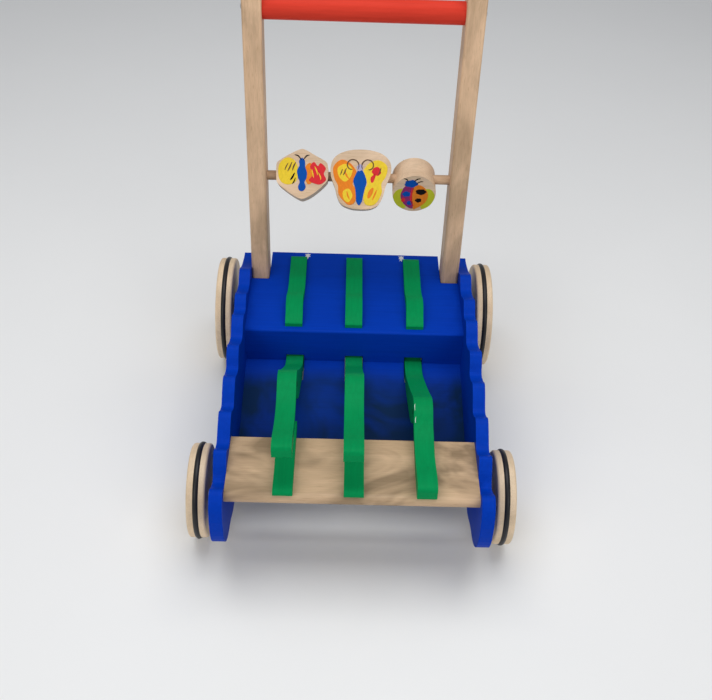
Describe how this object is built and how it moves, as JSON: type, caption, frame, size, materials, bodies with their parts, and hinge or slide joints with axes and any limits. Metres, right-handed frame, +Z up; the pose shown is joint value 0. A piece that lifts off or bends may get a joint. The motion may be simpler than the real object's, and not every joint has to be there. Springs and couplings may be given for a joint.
{
  "type": "push-along baby walker",
  "caption": "Wooden push-along baby walker with an upright handle frame, spinning painted rollers and snapping animal heads worked by the rear axle.",
  "frame": {"origin": "centre of the walker's bounding box, on the ground under the wheels", "axes": "+Z up, the front of the walker points along -Y, +X to the right when seen from the front"},
  "size_m": [0.3188, 0.4054, 0.45],
  "materials": {
    "blue_painted_wood": "satin paint over close-grained wood",
    "green_painted_wood": "satin paint over close-grained wood",
    "natural_wood": "pale hardwood, clear matt varnish, visible grain",
    "red_painted_wood": "satin red paint over a turned dowel",
    "roller_wood": "pale wood with painted insects on both faces",
    "wheel_wood": "pale turned wood, clear varnish",
    "ring_rubber": "matt black rubber",
    "bright_steel": "zinc-plated steel",
    "pale_plastic": "moulded plastic"
  },
  "bodies": {
    "carriage": {"left_side_panel": "blue_painted_wood", "right_side_panel": "blue_painted_wood", "rear_deck": "blue_painted_wood", "riser_panel": "blue_painted_wood", "pond_panel": "blue_painted_wood", "front_plank": "natural_wood", "left_upright": "natural_wood", "right_upright": "natural_wood", "handle_bar": "red_painted_wood", "roller_dowel": "natural_wood", "head_pivot_dowel": "natural_wood", "tail_left": "green_painted_wood", "tail_center": "green_painted_wood", "tail_right": "green_painted_wood", "lower_jaw_left": "green_painted_wood", "lower_jaw_center": "green_painted_wood", "lower_jaw_right": "green_painted_wood", "front_axle": "bright_steel", "axle_bushes": "pale_plastic", "front_spacers": "natural_wood", "front_hub_caps": "bright_steel", "deck_screws": "bright_steel", "riser_screws": "bright_steel", "pond_screws": "bright_steel", "plank_screws": "bright_steel", "tail_screws": "bright_steel", "jaw_screws": "bright_steel", "handle_screws": "bright_steel", "upright_bolts": "bright_steel", "insert_nuts": "bright_steel"},
    "front_left_wheel_set": {"front_left_wheel": "wheel_wood", "front_left_ring": "ring_rubber"},
    "front_right_wheel_set": {"front_right_wheel": "wheel_wood", "front_right_ring": "ring_rubber"},
    "rear_axle_set": {"rear_axle": "bright_steel", "rear_left_wheel": "wheel_wood", "rear_right_wheel": "wheel_wood", "rear_left_ring": "ring_rubber", "rear_right_ring": "ring_rubber", "rear_spacers": "natural_wood", "rear_hub_caps": "bright_steel", "cam_left": "natural_wood", "cam_center": "natural_wood", "cam_right": "natural_wood"},
    "left_head": {"head_left": "green_painted_wood"},
    "center_head": {"head_center": "green_painted_wood"},
    "right_head": {"head_right": "green_painted_wood"},
    "left_roller": {"roller_left": "roller_wood"},
    "center_roller": {"roller_center": "roller_wood"},
    "right_roller": {"roller_right": "roller_wood"}
  },
  "joints": [
    {"name": "front_left_wheel_spin", "type": "hinge", "parent": "carriage", "child": "front_left_wheel_set", "pos_m": [0, -0.12525, 0.047], "axis": [1, 0, 0], "continuous": true},
    {"name": "front_right_wheel_spin", "type": "hinge", "parent": "carriage", "child": "front_right_wheel_set", "pos_m": [0, -0.12525, 0.047], "axis": [1, 0, 0], "continuous": true},
    {"name": "rear_axle_spin", "type": "hinge", "parent": "carriage", "child": "rear_axle_set", "pos_m": [0, 0.14275, 0.06], "axis": [1, 0, 0], "continuous": true},
    {"name": "left_head_snap", "type": "hinge", "parent": "carriage", "child": "left_head", "pos_m": [0, 0.06075, 0.067], "axis": [-1, 0, 0], "range_deg": [-8.4, 1.4]},
    {"name": "center_head_snap", "type": "hinge", "parent": "carriage", "child": "center_head", "pos_m": [0, 0.06075, 0.067], "axis": [-1, 0, 0], "range_deg": [-7.8, 2]},
    {"name": "right_head_snap", "type": "hinge", "parent": "carriage", "child": "right_head", "pos_m": [0, 0.06075, 0.067], "axis": [-1, 0, 0], "range_deg": [0, 9.8]},
    {"name": "left_roller_spin", "type": "hinge", "parent": "carriage", "child": "left_roller", "pos_m": [0, 0.14472, 0.2395], "axis": [1, 0, 0], "continuous": true},
    {"name": "center_roller_spin", "type": "hinge", "parent": "carriage", "child": "center_roller", "pos_m": [0, 0.14472, 0.2395], "axis": [1, 0, 0], "continuous": true},
    {"name": "right_roller_spin", "type": "hinge", "parent": "carriage", "child": "right_roller", "pos_m": [0, 0.14472, 0.2395], "axis": [1, 0, 0], "continuous": true}
  ]
}
